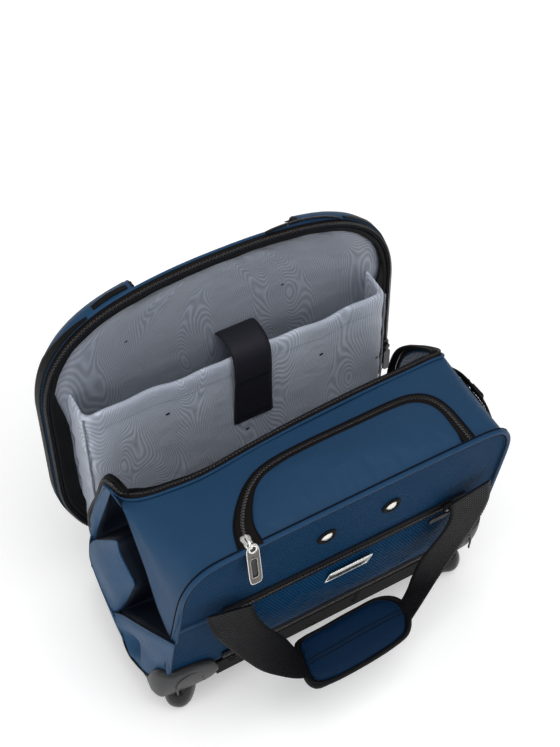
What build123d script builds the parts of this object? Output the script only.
from build123d import *
import math
import os

# Rolling laptop case, open: rigid castered base, a soft front section that has
# sagged forward, and a shallow D-shaped rear section with laptop sleeve and
# two-stage trolley handle.
# Millimetres. +Z up, +X to the right seen from the front, -Y is the front.
# Pieces are drawn from the floor, mid width, mid wheelbase. They are moved on
# export so that the origin is on the floor under the middle of the overall box.

# ------------------------------------------------------------------ dimensions
ORIGIN_SHIFT_Y = 33.025  # from mid wheelbase to the middle of the overall box
GAP = 0.1                # usual clearance between neighbouring pieces

# base tray
BASE_HW = 182.0          # half width
BASE_Y0, BASE_Y1 = -108.0, 92.0
BASE_R = 28.0            # plan corner radius
BASE_Z0, BASE_Z1 = 46.0, 70.0
BASE_T = 3.0
PAD_HW, PAD_HD, PAD_T = 100.0, 60.0, 3.0   # flat pad under the tray

# casters
STEM_X, STEM_FRONT_Y, STEM_REAR_Y = 158.0, -80.0, 74.0
STEM_R, STEM_BORE = 5.0, 5.06
WHEEL_R, WHEEL_HW, WHEEL_BORE = 19.0, 8.0, 3.06
AXLE_R, TRAIL = 3.0, 12.0
# name: stem x, stem y, direction the wheel trails in (degrees from +X)
CASTERS = {
    "fl": (-STEM_X, STEM_FRONT_Y, 225.0),
    "fr": (STEM_X, STEM_FRONT_Y, 307.0),
    "rl": (-STEM_X, STEM_REAR_Y, 105.0),
    "rr": (STEM_X, STEM_REAR_Y, 70.0),
}

# front section
FRONT_Y0, FRONT_Z0 = -111.2, 74.0        # bottom of the front panel's outer face
FRONT_LEAN = math.radians(9.73)          # the sagged panel leans out this much
FRONT_HW, FRONT_LEN, FRONT_R = 184.0, 219.0, 52.0
FRONT_T = 4.0
EDGE_TOP_Y, EDGE_TOP_Z = -36.0, 289.0    # rear edge of the soft shell, top
EDGE_BOT_Y, EDGE_BOT_Z = 50.0, 74.0      # rear edge of the soft shell, bottom
GUSSET_FRONT_HW, GUSSET_REAR_HW, GUSSET_T = 187.0, 190.0, 3.0

# rear section
HINGE_Y, HINGE_Z, HINGE_R, HINGE_HW = 95.0, 73.0, 2.0, 132.0
RIM_Y0, SHELL_Y0, SHELL_Y1 = 93.5, 99.0, 120.5
SHELL_T, SHELL_INSET = 2.5, 9.0
REAR_HW, REAR_Z0, REAR_TOP_Z = 205.0, 78.0, 415.0
SLEEVE_HW, SLEEVE_Y0, SLEEVE_Z0, SLEEVE_Z1, SLEEVE_T = 178.0, 62.0, 112.0, 302.0, 5.0

# trolley handle tubes: sizes are (x, y)
TUBE_X, TUBE_Y, TUBE_WALL = 70.0, 109.8, 1.2
OUTER_SIZE, MIDDLE_SIZE, INNER_SIZE = (24.0, 14.0), (21.4, 11.4), (18.8, 8.8)

os.makedirs("parts", exist_ok=True)


# ------------------------------------------------------------------ helpers
def box(x0, x1, y0, y1, z0, z1):
    return Pos((x0 + x1) / 2, (y0 + y1) / 2, (z0 + z1) / 2) * Box(x1 - x0, y1 - y0, z1 - z0)


def rod_z(x, y, z0, z1, radius):
    return Pos(x, y, (z0 + z1) / 2) * Cylinder(radius, z1 - z0)


def rod_x(y, z, x0, x1, radius):
    return Pos((x0 + x1) / 2, y, z) * Rot(0, 90, 0) * Cylinder(radius, x1 - x0)


def prism_x(points, x0, x1):
    """Closed polygon of (y, z) points, extruded from x0 to x1."""
    face = make_face(Polyline(*[(x0, y, z) for y, z in points], close=True))
    return extrude(face, amount=x1 - x0, dir=(1, 0, 0))


def prism_y(points, y0, y1):
    """Closed polygon of (x, z) points, extruded from y0 to y1."""
    face = make_face(Polyline(*[(x, y0, z) for x, z in points], close=True))
    return extrude(face, amount=y1 - y0, dir=(0, 1, 0))


def plate_z(sketch, z0, z1):
    return Pos(0, 0, z0) * extrude(sketch, amount=z1 - z0, dir=(0, 0, 1))


def rounded_block(x0, x1, y0, y1, radius, z0, z1):
    plan = Pos((x0 + x1) / 2, (y0 + y1) / 2) * RectangleRounded(x1 - x0, y1 - y0, radius)
    return plate_z(plan, z0, z1)


def tray_block(outset, radius, z0, z1):
    """Block with the tray's plan, grown by outset."""
    return rounded_block(-BASE_HW - outset, BASE_HW + outset, BASE_Y0 - outset,
                         BASE_Y1 + outset, radius, z0, z1)


def save(name, *shapes):
    """Move the shapes to the final origin and write them as one file."""
    shift = Location((0, ORIGIN_SHIFT_Y, 0))
    solids = [solid.moved(shift) for shape in shapes for solid in shape.solids()]
    piece = Compound(children=solids) if len(solids) > 1 else solids[0]
    export_step(piece, "parts/" + name + ".step")


# ------------------------------------------------------------------ base tray
FLOOR_Z = BASE_Z0 + BASE_T
RIB_XS, RIB_HW = (-90, 0, 90), 1.2
SCREW_XY = [(side * x, y) for side in (-1, 1)
            for x, y in ((120, -96), (120, 80), (60, -96), (60, 80), (172, 0))]

tray = tray_block(0, BASE_R, BASE_Z0, BASE_Z1)
tray -= tray_block(-BASE_T, BASE_R - BASE_T, FLOOR_Z, BASE_Z1 + 1)
tray += rounded_block(-PAD_HW, PAD_HW, -PAD_HD, PAD_HD, 10, BASE_Z0 - PAD_T, BASE_Z0 + 0.5)
for x, y, _ in CASTERS.values():
    tray -= rod_z(x, y, BASE_Z0 - 1, FLOOR_Z + 1, 9.1)
# stiffening ribs across the tray floor
for x in RIB_XS:
    tray += box(x - RIB_HW, x + RIB_HW, BASE_Y0 + 2, BASE_Y1 - 2, BASE_Z0 + 2, BASE_Z0 + 8)
for x, y in SCREW_XY:
    tray -= rod_z(x, y, 40, 52, 1.85)
# moulded hinge rod along the rear wall, and the web that carries it
tray += rod_x(HINGE_Y, HINGE_Z, -HINGE_HW, HINGE_HW, HINGE_R)
tray += prism_x([(91.5, 60), (94.9, 60), (95.9, 64), (95.9, 72.5),
                 (94.1, 72.5), (94.1, 71), (91.5, 69)], -HINGE_HW, HINGE_HW)
save("base_tray", tray)

# flanged sockets that take the caster stems
sockets = []
for x, y, _ in CASTERS.values():
    socket = rod_z(x, y, 43.6, BASE_Z0 - 0.05, 15.0) + rod_z(x, y, 45.0, 66.0, 9.0)
    socket -= rod_z(x, y, 40, 70, STEM_BORE)
    sockets.append(socket)
save("caster_sockets", *sockets)

# board resting on the ribs
board = tray_block(-6, 22, 54.1, 56.6)
for x, y, _ in CASTERS.values():
    board -= rod_z(x, y, 50, 60, 11)
save("floor_board", board)

# trim strips between the corner guards
TRIM_OUT = 3.2           # outer face, measured from the tray wall
save("base_trim",
     box(-134, 134, BASE_Y0 - TRIM_OUT, BASE_Y0 - GAP, 48, 68),
     box(-BASE_HW - TRIM_OUT, -BASE_HW - GAP, -62, 46, 50, 66),
     box(BASE_HW + GAP, BASE_HW + TRIM_OUT, -62, 46, 50, 66))


def screw(x, y):
    """Cross-slotted screw up through the tray floor."""
    body = rod_z(x, y, 44.2, 45.95, 3.6) + rod_z(x, y, 45.9, 52.5, 1.8)
    body -= Pos(x, y, 44.3) * Box(4.0, 0.9, 1.0)
    body -= Pos(x, y, 44.3) * Box(0.9, 4.0, 1.0)
    return body


save("base_screws", *[screw(x, y) for x, y in SCREW_XY])

# ------------------------------------------------------------------ corner guards
GUARD_HW, GUARD_Y0, GUARD_R = BASE_HW + 4, BASE_Y0 - 4, 31
GUARD_Z0 = 43.8
GUARD_X0 = 137.0         # inner end of each guard
LEDGE_Z = 73.8           # top of the wrap, where the front lip steps outward
LIP_TOP_Z = 91           # just above the lip


def corner_guard(side, front):
    """Guard round a plan corner. The front ones flare into a lip that stands
    outside the soft section and is tallest at the corner."""
    tray_space = tray_block(GAP, BASE_R + GAP, BASE_Z0 - GAP, 100)
    if front:
        guard = rounded_block(-GUARD_HW, GUARD_HW, GUARD_Y0, 96, GUARD_R, GUARD_Z0, LEDGE_Z)
        guard += rounded_block(-193, 193, -118.4, 96, 36, 66.0, 90.0)
        guard -= prism_x([(-108.1, 40), (-108.1, LEDGE_Z), (GUARD_Y0, LEDGE_Z),
                          (-116.4, LIP_TOP_Z), (80, LIP_TOP_Z), (80, 40)], -182.1, 182.1)
        guard -= prism_x([(-113.6, LEDGE_Z), (-116.4, LIP_TOP_Z), (80, LIP_TOP_Z),
                          (80, LEDGE_Z)], -190.7, 190.7)
        guard -= tray_space
        guard = guard & box(GUARD_X0, 195, -120, -66.0, 40, 100)
        # the lip slopes down toward the rear, then toward mid width
        guard -= prism_x([(-96, 90.5), (-60, 72), (-60, 100), (-96, 100)], 150, 199)
        guard -= prism_y([(130, 72), (146, 80.0), (168, 90.5), (130, 95)], -130, -106)
    else:
        guard = rounded_block(-GUARD_HW, GUARD_HW, GUARD_Y0, 94.6, GUARD_R, GUARD_Z0, 69.0)
        guard -= tray_space
        guard = guard & box(GUARD_X0, 190, 50.0, 97, 40, 100)
    guard -= rod_z(STEM_X, STEM_FRONT_Y if front else STEM_REAR_Y, 40, 50, 17.0)
    guard = guard.solids().sort_by(SortBy.VOLUME)[-1]
    if side < 0:
        guard = mirror(guard, about=Plane.YZ)
    return guard


save("front_guards", corner_guard(-1, True), corner_guard(1, True))
save("rear_guards", corner_guard(-1, False), corner_guard(1, False))

# ------------------------------------------------------------------ casters
# Drawn with the stem on the Z axis and the wheel trailing toward -Y.
WHEEL_Y = -TRAIL
FORK_Z0, FORK_Z1 = 39.6, 43.2            # crown of the fork
CHEEK_X0, CHEEK_X1 = 8.7, 11.6


def caster_fork():
    fork = rod_z(0, 0, FORK_Z0, FORK_Z1, 12.5)
    fork += box(-CHEEK_X1, CHEEK_X1, WHEEL_Y - 9, 3, FORK_Z0, FORK_Z1)
    cheek = [(4, FORK_Z1), (4, 36), (WHEEL_Y + 9, 13), (WHEEL_Y + 4, 10.5),
             (WHEEL_Y - 4, 10.5), (WHEEL_Y - 9, 15), (WHEEL_Y - 9, FORK_Z1)]
    fork += prism_x(cheek, -CHEEK_X1, -CHEEK_X0)
    fork += prism_x(cheek, CHEEK_X0, CHEEK_X1)
    fork = fork + rod_z(0, 0, 43.0, 64.0, STEM_R)
    return fork - rod_x(WHEEL_Y, WHEEL_R, -14, 14, AXLE_R + 0.02)


def caster_wheel():
    """Wheel with a ring-shaped recess in each face, round the hub."""
    def on_axle(x0, x1, radius):
        return rod_x(WHEEL_Y, WHEEL_R, x0, x1, radius)

    half = WHEEL_HW
    wheel = on_axle(-half, half, WHEEL_R)
    wheel = fillet(wheel.edges().filter_by(GeomType.CIRCLE), 2.2)
    wheel -= on_axle(half - 2, half + 1, 13) - on_axle(half - 3, half + 2, 6)
    wheel -= on_axle(-half - 1, -half + 2, 13) - on_axle(-half - 2, -half + 3, 6)
    return wheel - on_axle(-12, 12, WHEEL_BORE)


for name, (x, y, direction) in CASTERS.items():
    place = Pos(x, y, 0) * Rot(0, 0, direction - 270)
    save("caster_fork_" + name, place * caster_fork())
    save("caster_axle_" + name, place * rod_x(WHEEL_Y, WHEEL_R, -12.2, 12.2, AXLE_R))
    save("caster_wheel_" + name, place * caster_wheel())

# ------------------------------------------------------------------ front panel
# Sketches on the leaning panel have u along X and v up the slope.
front_normal = (0.0, -math.cos(FRONT_LEAN), -math.sin(FRONT_LEAN))


def shifted_plane(y, z, normal, out):
    """Plane through (0, y, z), shifted along its normal by out."""
    origin = (0, y + normal[1] * out, z + normal[2] * out)
    return Plane(origin=origin, x_dir=(1, 0, 0), z_dir=normal)


def front_plane(out):
    return shifted_plane(FRONT_Y0, FRONT_Z0, front_normal, out)


def arch(half_width, v0, v1, radius):
    """Rectangle with its two upper corners rounded."""
    sketch = Pos(0, (v0 + v1) / 2) * Rectangle(2 * half_width, v1 - v0)
    return fillet(sketch.vertices().group_by(Axis.Y)[-1], radius)


def inset_arch(inset, v0):
    """The panel's outline, drawn in at the sides and top, starting at v0."""
    return arch(FRONT_HW - inset, v0, FRONT_LEN - inset, FRONT_R - inset)


def on_front(sketch, out0, out1):
    """Extrude a sketch on the leaning panel between two outward offsets."""
    return extrude(front_plane(out0) * sketch, amount=out1 - out0, dir=front_normal)


def slope_v(z):
    """Distance v up the panel that reaches height z."""
    return (z - FRONT_Z0) / math.cos(FRONT_LEAN)


save("front_panel", on_front(inset_arch(0, 0), -FRONT_T, 0))
save("front_board", on_front(inset_arch(7, 3), -FRONT_T - 2.1, -FRONT_T - GAP))
save("front_lining", on_front(inset_arch(6, 2), -FRONT_T - 3.4, -FRONT_T - 2.2))
save("front_piping", on_front(inset_arch(-4.6, 8) - inset_arch(-GAP, -5), -4.4, 1.4))

# ------------------------------------------------------------------ front gusset
edge_dy, edge_dz = EDGE_TOP_Y - EDGE_BOT_Y, EDGE_TOP_Z - EDGE_BOT_Z
EDGE_LEN = math.hypot(edge_dy, edge_dz)
edge_normal = (0.0, -edge_dz / EDGE_LEN, edge_dy / EDGE_LEN)   # toward the front
GUSSET_LEN = FRONT_LEN + 2.5


def edge_plane(out):
    """Plane of the soft shell's rear edge, shifted forward by out."""
    return shifted_plane(EDGE_BOT_Y, EDGE_BOT_Z, edge_normal, out)


below_gusset = box(-200, 200, -200, 200, 0, FRONT_Z0)
outside = loft([
    front_plane(-5.0) * arch(GUSSET_FRONT_HW, 0, GUSSET_LEN, FRONT_R + 2),
    edge_plane(0.0) * arch(GUSSET_REAR_HW, 0, EDGE_LEN, 34)], ruled=True)
inside = loft([
    front_plane(-4.0) * arch(GUSSET_FRONT_HW - GUSSET_T, -30, GUSSET_LEN - GUSSET_T, FRONT_R - 1),
    edge_plane(-1.0) * arch(GUSSET_REAR_HW - GUSSET_T, -30, EDGE_LEN - GUSSET_T, 31)], ruled=True)
gusset = outside - inside
gusset -= below_gusset
save("front_gusset", gusset)

# tape round the rear edge of the gusset
tape = arch(GUSSET_REAR_HW - 0.3, 0, EDGE_LEN - 0.3, 33.7)
tape -= arch(GUSSET_REAR_HW - 2.5, -5, EDGE_LEN - 2.5, 31.5)
rim_tape = extrude(edge_plane(-0.1) * tape, amount=11.0,
                   dir=(0, -edge_normal[1], -edge_normal[2]))
rim_tape -= below_gusset
save("front_rim_tape", rim_tape)

# ------------------------------------------------------------------ top pocket
# U-shaped zip on the soft top; the U opens toward the front.
TOP_X0, TOP_X1, TOP_Y1, TOP_R = -106.0, 144.0, -66.0, 42.0
TOP_Z = 293.4
TOP_ZIP_W = 9.0


def u_plan(inset, y0):
    x_mid, y_mid = (TOP_X0 + TOP_X1) / 2, (y0 + TOP_Y1 - inset) / 2
    sketch = Pos(x_mid, y_mid) * Rectangle(TOP_X1 - TOP_X0 - 2 * inset, TOP_Y1 - inset - y0)
    return fillet(sketch.vertices().group_by(Axis.Y)[-1], TOP_R - inset)


save("top_pocket_zip", plate_z(u_plan(0, -139) - u_plan(TOP_ZIP_W, -150), TOP_Z, TOP_Z + 2.6))
save("top_pocket_panel", plate_z(u_plan(TOP_ZIP_W + 0.3, -138), TOP_Z, TOP_Z + 3.0))

# ------------------------------------------------------------------ front pocket
DETAIL_X = 15.0          # the front details are set this far to the right
POCKET_X0, POCKET_X1 = DETAIL_X - 124.0, DETAIL_X + 130.0
POCKET_V0, POCKET_V1 = slope_v(86), slope_v(176)
POCKET_W, POCKET_H = POCKET_X1 - POCKET_X0, POCKET_V1 - POCKET_V0
POCKET_MID_X = (POCKET_X0 + POCKET_X1) / 2
POCKET_ZIP_V = POCKET_V1 + 7.0
ZIP_T = 3.1              # outer face of the zips, measured from the panel

pocket_mid = Pos(POCKET_MID_X, (POCKET_V0 + POCKET_V1) / 2)
pocket = loft([
    front_plane(GAP) * (pocket_mid * RectangleRounded(POCKET_W, POCKET_H, 16)),
    front_plane(9.0) * (pocket_mid * RectangleRounded(POCKET_W - 16, POCKET_H - 12, 12)),
], ruled=True)
save("front_pocket", pocket)
pocket_zip = Pos(POCKET_MID_X, POCKET_ZIP_V) * Rectangle(POCKET_W - 6, 11)
save("front_pocket_zip", on_front(pocket_zip, GAP, ZIP_T))
lower_zip = Pos(POCKET_MID_X, POCKET_V0 - 6.5) * Rectangle(POCKET_W - 24, 9.5)
save("lower_zip", on_front(lower_zip, GAP, ZIP_T))

badge = Pos(DETAIL_X + 2, slope_v(158)) * Rectangle(50, 9.5)
badge = fillet(badge.vertices(), 2)
save("badge_plate", on_front(badge, 9.1, 10.9))


def rivet_head(place):
    head = on_front(place * Circle(5.0), GAP, 3.4)
    return fillet(head.edges().filter_by(GeomType.CIRCLE).group_by(Axis.Y)[0], 1.0)


# two rivets above the pocket, each a washer with a domed head
rivet_places = [Pos(DETAIL_X + x, slope_v(243)) for x in (-37, 37)]
save("rivets",
     *[on_front(place * (Circle(9.0) - Circle(5.05)), GAP, 1.3) for place in rivet_places],
     *[rivet_head(place) for place in rivet_places])

# zip high on the gusset's right side
save("side_pocket_zip", box(191.2, 193.8, -132, -42, 256, 268))

# ------------------------------------------------------------------ sliders and pulls
# Each slider straddles its chain; its pull hangs from a bar on a short bail.
BAIL_UP = 2.6            # bail bar above the slider's back
SMALL_H = 4.5            # height of the smaller sliders


def slider(width=9.5, length=13, height=SMALL_H, back=0.0):
    """Travel along Y, outward is +Z, seated on z = 0; bail at y = -back."""
    seated = (Align.CENTER, Align.CENTER, Align.MIN)
    body = Box(width, length, height, align=seated)
    body = chamfer(body.edges().filter_by(Axis.Z), 2.2)
    body = chamfer(body.edges().group_by(Axis.Z)[-1], 0.9)
    for side in (-1, 1):
        post = Box(1.0, 2.2, BAIL_UP + 1.2, align=seated)
        body += Pos(2.5 * side, -back, height - 0.3) * post
    return body + Pos(0, -back, height + BAIL_UP) * Rot(0, 90, 0) * Cylinder(1.1, 6.0)


def pull(length, width=8.0, slot=False):
    """Pull tab along -Y from the bail bar at the origin; the eye turns on the bar."""
    thick, body_y = 2.2, -6.5 - length / 2
    eye = Rot(0, 90, 0) * (Cylinder(2.3, 3.4) - Cylinder(1.17, 4))
    neck = Pos(0, -4.4, 0) * Box(3.4, 5.0, 1.8)
    body = Pos(0, body_y, 0) * Box(width, length, thick)
    body = chamfer(body.edges().filter_by(Axis.Z), 1.6)
    if slot:
        body -= Pos(0, body_y + 1, 0) * Box(4.6, length * 0.62, thick + 1)
    return eye + neck + body


small_bar = Pos(0, 0, SMALL_H + BAIL_UP)

# top pocket: parked at the front end of the left leg, pull hanging over the edge
top_x, top_y, top_z = TOP_X0 + TOP_ZIP_W / 2, -143.0, TOP_Z + 2.7
top_h, top_back = 5.0, 7.5
save("top_zip_slider", Pos(top_x, top_y, top_z) * slider(length=15.0, height=top_h, back=top_back))
save("top_zip_pull", Pos(top_x, top_y - top_back, top_z + top_h + BAIL_UP) * Rot(68, 0, 0)
     * pull(38.0, width=13.0, slot=True))

# front pocket: parked at the right end, pull lying along the zip
pocket_place = front_plane(ZIP_T + GAP) * Pos(POCKET_X1 - 14.0, POCKET_ZIP_V, 0)
save("pocket_zip_slider", pocket_place * Rot(0, 0, 90) * slider())
save("pocket_zip_pull", pocket_place * small_bar * Rot(0, 0, -90) * pull(22.0))

# side pocket: parked at the rear end, outward +X, pull toward the front
side_place = Location(Plane(origin=(193.9, -58, 262), x_dir=(0, 0, 1), z_dir=(1, 0, 0)))
save("side_zip_slider", side_place * slider())
save("side_zip_pull", side_place * small_bar * Rot(0, 0, 180) * pull(20.0))

# main zip: parked low on the right side of the rear rim, pull hanging down
main_place = Location(Plane(origin=(200.4, RIM_Y0 - GAP, 190), x_dir=(1, 0, 0), z_dir=(0, -1, 0)))
save("main_zip_slider", main_place * slider(width=8.5), main_place * small_bar * pull(30.0))

# ------------------------------------------------------------------ front carry handle
WEB_Y0, WEB_Y1 = -151.5, -148.5
WRAP_HW = 62             # half width of the straight middle run
# (x, z) outlines of the webbing
LEFT_WEB = [(-158, 188), (-108, 188), (-100, 150), (-86, 118), (-WRAP_HW, 98),
            (-WRAP_HW, 60), (-84, 54), (-112, 62), (-138, 96), (-152, 140)]
RIGHT_WEB = [(187, 188), (137, 188), (129, 150), (110, 118), (WRAP_HW, 98),
             (WRAP_HW, 60), (92, 54), (128, 66), (162, 104), (182, 150)]
MIDDLE_WEB = [(-WRAP_HW, 98), (WRAP_HW, 98), (WRAP_HW, 60), (-WRAP_HW, 60)]

left_web, middle_web, right_web = [prism_y(outline, WEB_Y0, WEB_Y1)
                                   for outline in (LEFT_WEB, MIDDLE_WEB, RIGHT_WEB)]
save("handle_webbing", left_web + middle_web + right_web)

# padded wrap round the middle run
wrap = Pos(0, -165.0, 78.0) * Rot(6, 0, 0) * Box(122, 52, 15)
wrap = fillet(wrap.edges().filter_by(Axis.X), 6.0)
web_slot = box(-WRAP_HW, WRAP_HW, WEB_Y0 - GAP, WEB_Y1 + GAP, 50, 110)
save("handle_wrap", *(wrap - web_slot).solids())


# ------------------------------------------------------------------ rear section
def rear_outline(y, inset=0.0):
    """D-shaped outline of the rear section at depth y, drawn in by inset."""
    half = REAR_HW
    edges = [
        Line((-150, REAR_Z0), (150, REAR_Z0)),
        ThreePointArc((150, REAR_Z0), (190.6, 118.1), (half, 172)),
        Line((half, 172), (half, 300)),
        ThreePointArc((half, 300), (181.0, 365.8), (134, 397.5)),
        ThreePointArc((134, 397.5), (0, REAR_TOP_Z), (-134, 397.5)),
        ThreePointArc((-134, 397.5), (-181.0, 365.8), (-half, 300)),
        Line((-half, 300), (-half, 172)),
        ThreePointArc((-half, 172), (-190.6, 118.1), (-150, REAR_Z0)),
    ]
    sketch = make_face(Curve() + edges)
    if inset:
        sketch = offset(sketch, amount=-inset, kind=Kind.INTERSECTION)
    return Plane(origin=(0, y, 0), x_dir=(1, 0, 0), z_dir=(0, -1, 0)) * sketch


def rear_plate(y0, y1, inset):
    return extrude(rear_outline(y0, inset), amount=y1 - y0, dir=(0, 1, 0))


shell = loft([rear_outline(SHELL_Y0), rear_outline(SHELL_Y1, SHELL_INSET)], ruled=True)
hollow = loft([rear_outline(SHELL_Y0 - 0.01, SHELL_T),
               rear_outline(SHELL_Y1 - SHELL_T, SHELL_INSET + SHELL_T - 1.0)], ruled=True)
shell = shell - hollow
# window in the back and top for the trolley grip
shell -= box(-93, 93, 103.0, 130, 350, 430)
save("rear_shell", shell)
save("rear_rim_tape", rear_plate(RIM_Y0, SHELL_Y0 - 0.05, 0)
     - rear_plate(RIM_Y0 - 1, SHELL_Y0 + 1, 9.0))
save("rear_lining", rear_plate(SHELL_Y0 + GAP, SHELL_Y0 + 1.3, 8.6))
save("rear_board", rear_plate(SHELL_Y0 + 1.4, SHELL_Y0 + 3.4, 10.0))

# padded laptop sleeve, open at the top, trimmed to clear the rim tape
sleeve = box(-SLEEVE_HW, SLEEVE_HW, SLEEVE_Y0, SHELL_Y0 - GAP, SLEEVE_Z0, SLEEVE_Z1)
sleeve = fillet(sleeve.edges().filter_by(Axis.Y).group_by(Axis.Z)[0], 14)
sleeve -= box(-SLEEVE_HW + SLEEVE_T, SLEEVE_HW - SLEEVE_T, SLEEVE_Y0 + SLEEVE_T, SHELL_Y0 + 1,
              SLEEVE_Z0 + SLEEVE_T, SLEEVE_Z1 + 10)
sleeve -= rear_plate(RIM_Y0 - 1, SHELL_Y0 + 1, -40) - rear_plate(RIM_Y0 - 2, SHELL_Y0 + 2, 9.2)
save("laptop_sleeve", sleeve)

# retaining strap over the sleeve's mouth: (y, z) outline
STRAP = [(98.0, 317.6), (96.2, 317.2), (94.0, 320.6), (79, 324.4), (63, 319.4),
         (60.2, 313.6), (60.2, 206), (58.0, 206), (58.0, 315), (61.6, 321.8),
         (79, 326.8), (95.6, 323.0), (98.0, 320.4)]
save("sleeve_strap", prism_x(STRAP, -13.0, 33.0))

# hinge tape that turns on the base's rod, open below for the rod's web
TAPE_HW = HINGE_HW - 2
hinge = rod_x(HINGE_Y, HINGE_Z, -TAPE_HW, TAPE_HW, 3.3)
hinge -= rod_x(HINGE_Y, HINGE_Z, -151, 151, HINGE_R + 0.06)
hinge -= prism_x([(HINGE_Y, HINGE_Z), (HINGE_Y - 9, HINGE_Z), (HINGE_Y - 9, HINGE_Z - 9),
                  (HINGE_Y + 9, HINGE_Z - 9), (HINGE_Y + 9, HINGE_Z - 3.2)], -151, 151)
hinge += (box(-TAPE_HW, TAPE_HW, 97.0, 98.9, 74.0, 77.9)
          - rod_x(HINGE_Y, HINGE_Z, -151, 151, 3.2))
save("hinge_tape", hinge)

# ------------------------------------------------------------------ trolley handle
TUBE_XS = (-TUBE_X, TUBE_X)
OUTER_TOP, BEZEL_Z0, BEZEL_TOP, INNER_TOP = 360.0, 348, 372.0, 386.0
GRIP_Y0, GRIP_Y1, GRIP_TOP = 104.4, 116.2, 391.0


def tube_block(x, size, z0, z1, radius, extra=0.0):
    """Solid bar on a tube's axis, its size grown by extra."""
    plan = RectangleRounded(size[0] + extra, size[1] + extra, radius)
    return plate_z(Pos(x, TUBE_Y) * plan, z0, z1)


def tube(x, size, z0, z1, radius):
    wall = TUBE_WALL
    outline = Pos(x, TUBE_Y) * RectangleRounded(*size, radius)
    bore = RectangleRounded(size[0] - 2 * wall, size[1] - 2 * wall, max(0.5, radius - wall))
    return plate_z(outline - Pos(x, TUBE_Y) * bore, z0, z1)


def inner_tube(x):
    """Inner tube, notched on the side toward mid width for the release bar."""
    side = math.copysign(1, x)
    face_x = x - side * INNER_SIZE[0] / 2
    notch_x0, notch_x1 = sorted((face_x, face_x + side * 2))
    return (tube(x, INNER_SIZE, 102.0, INNER_TOP, 1.8)
            - box(notch_x0 - 0.6, notch_x1 + 0.2, TUBE_Y - 1.8, TUBE_Y + 1.8, 375.5, 387))


def collar(x):
    return (tube_block(x, (OUTER_SIZE[0], 13.0), BEZEL_TOP + GAP, 378.2, 3.0)
            - tube_block(x, INNER_SIZE, 360, 390, 1.9, extra=0.2))


def bracket(x):
    """Cup at the foot of an outer tube, cross-drilled along X."""
    body = box(x - 19, x + 19, 102.8, 117.3, 91.2, 113)
    half = OUTER_SIZE[0] / 2 + 0.05
    body -= box(x - half, x + half, 100, 120, 94.0, 120)
    return body - rod_x(TUBE_Y, 103, x - 25, x + 25, 1.9)


save("trolley_outer_tubes", *[tube(x, OUTER_SIZE, 94.0, OUTER_TOP, 3.5) for x in TUBE_XS])
save("trolley_middle_tubes", *[tube(x, MIDDLE_SIZE, 98.0, BEZEL_TOP, 2.3) for x in TUBE_XS])
save("trolley_inner_tubes", *[inner_tube(x) for x in TUBE_XS])
save("middle_collars", *[collar(x) for x in TUBE_XS])
save("tube_brackets", *[bracket(x) for x in TUBE_XS])

# bezel round the tube tops, with a well for the grip
bezel = box(-90, 90, 102.6, 117.4, BEZEL_Z0, BEZEL_TOP)
bezel = fillet(bezel.edges().filter_by(Axis.Z), 4)
bezel -= box(-55.5, 55.5, 101, 118, 353, BEZEL_TOP + 1)
bezel += box(-60, 60, 102.6, 104.0, BEZEL_Z0, BEZEL_TOP)
for x in TUBE_XS:
    bezel -= tube_block(x, OUTER_SIZE, 340, OUTER_TOP + 0.05, 3.5, extra=0.1)
    bezel -= tube_block(x, MIDDLE_SIZE, 350, BEZEL_TOP + 1, 2.4, extra=0.2)
save("trolley_bezel", bezel)

# T-shaped grip with sockets for the inner tubes, a release channel and a button slot
grip = (box(-86, 86, GRIP_Y0, GRIP_Y1, 378.6, GRIP_TOP)
        + box(-54.6, 54.6, GRIP_Y0, GRIP_Y1, 355.0, GRIP_TOP))
grip = fillet(grip.edges().filter_by(Axis.X).group_by(Axis.Z)[-1], 3.5)
grip -= box(-28, 28, 104, 105.4, 356, 384)
for x in TUBE_XS:
    grip -= tube_block(x, INNER_SIZE, 370, INNER_TOP + 0.05, 1.81, extra=0.02)
grip -= box(-72.6, 72.6, TUBE_Y - 1.6, TUBE_Y + 1.6, 376.0, 384.2)
grip -= box(-16.1, 16.1, TUBE_Y - 3.1, TUBE_Y + 3.1, 380.0, 392)
save("trolley_grip", grip)

button = box(-16, 16, TUBE_Y - 3.0, TUBE_Y + 3.0, 384.2, 392.2)
button = fillet(button.edges().group_by(Axis.Z)[-1], 1.0)
save("grip_button", button)

# release bar under the button, with a rod down each tube
rods = box(-72.2, 72.2, TUBE_Y - 1.4, TUBE_Y + 1.4, 381.1, 384.1)
for x in TUBE_XS:
    rods += box(x - 2, x + 2, TUBE_Y - 1.4, TUBE_Y + 1.4, 130, 383)
save("release_rods", rods)

# ------------------------------------------------------------------ rear carry handle
# (x, z) outline of the webbing loop
REAR_WEB = [(-128, 352), (-92, 352), (-84, 330), (-60, 318), (60, 318), (84, 330),
            (92, 352), (128, 352), (120, 322), (84, 288), (-84, 288), (-120, 322)]
save("rear_handle_webbing", prism_y(REAR_WEB, 122.0, 125.0))
save("rear_handle_tabs", *[box(x - 17, x + 17, 121.0, 124.0, 354.2, 388.0) for x in (-111, 111)])
